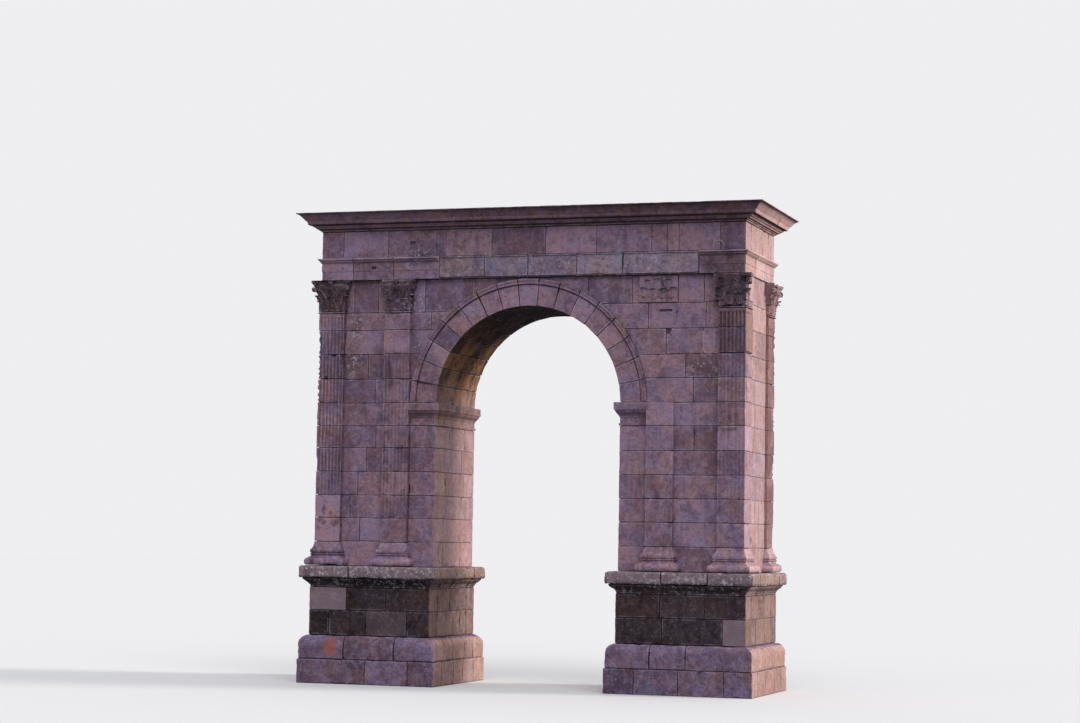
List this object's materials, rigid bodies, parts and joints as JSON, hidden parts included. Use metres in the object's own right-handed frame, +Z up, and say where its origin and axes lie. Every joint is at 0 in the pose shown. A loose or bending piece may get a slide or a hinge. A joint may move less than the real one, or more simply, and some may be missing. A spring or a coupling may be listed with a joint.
{
  "type": "triumphal arch",
  "caption": "Free-standing stone arch with a round-headed passage between two piers on podiums, fluted pilasters with leaf capitals, and a full entablature.",
  "frame": {"origin": "on the ground in the middle of the passage, halfway between the two faces", "axes": "+X along the front, to the right seen from the front; the front faces -Y; +Z up"},
  "size_m": [12.24, 4.162, 11.96],
  "materials": {
    "wall_stone": "weathered squared blocks, rough",
    "carved_stone": "worn carving with dark crust in the hollows",
    "arch_stone": "weathered wedge blocks, warm tone",
    "entablature_stone": "dark weathered mouldings with lichen",
    "restored_stone": "plain replacement blocks, greyer",
    "podium_stone": "dark brown patina with pale lichen",
    "socle_stone": "rounded worn blocks, pale"
  },
  "bodies": {
    "root": {"architrave_left": "entablature_stone", "architrave_middle": "restored_stone", "architrave_right": "entablature_stone", "cornice": "entablature_stone", "frieze": "entablature_stone", "keystone": "arch_stone", "left_corner_bases": "carved_stone", "left_corner_capitals": "carved_stone", "left_corner_shafts": "carved_stone", "left_impost": "arch_stone", "left_inner_bases": "carved_stone", "left_inner_capitals": "carved_stone", "left_inner_shafts": "carved_stone", "left_jamb": "arch_stone", "left_lower_socle": "socle_stone", "left_pier_wall": "wall_stone", "left_podium_cap": "podium_stone", "left_podium_dado": "podium_stone", "left_spandrel": "wall_stone", "left_upper_socle": "socle_stone", "left_voussoir_1": "arch_stone", "left_voussoir_2": "arch_stone", "left_voussoir_3": "arch_stone", "left_voussoir_4": "arch_stone", "left_voussoir_5": "arch_stone", "left_voussoir_6": "arch_stone", "left_voussoir_7": "arch_stone", "left_voussoir_8": "arch_stone", "right_corner_bases": "carved_stone", "right_corner_capitals": "carved_stone", "right_corner_shafts": "carved_stone", "right_impost": "arch_stone", "right_inner_bases": "carved_stone", "right_inner_capitals": "carved_stone", "right_inner_shafts": "carved_stone", "right_jamb": "arch_stone", "right_lower_socle": "socle_stone", "right_pier_wall": "wall_stone", "right_podium_cap": "podium_stone", "right_podium_dado": "podium_stone", "right_spandrel": "wall_stone", "right_upper_socle": "socle_stone", "right_voussoir_1": "arch_stone", "right_voussoir_2": "arch_stone", "right_voussoir_3": "arch_stone", "right_voussoir_4": "arch_stone", "right_voussoir_5": "arch_stone", "right_voussoir_6": "arch_stone", "right_voussoir_7": "arch_stone", "right_voussoir_8": "arch_stone"}
  },
  "joints": []
}
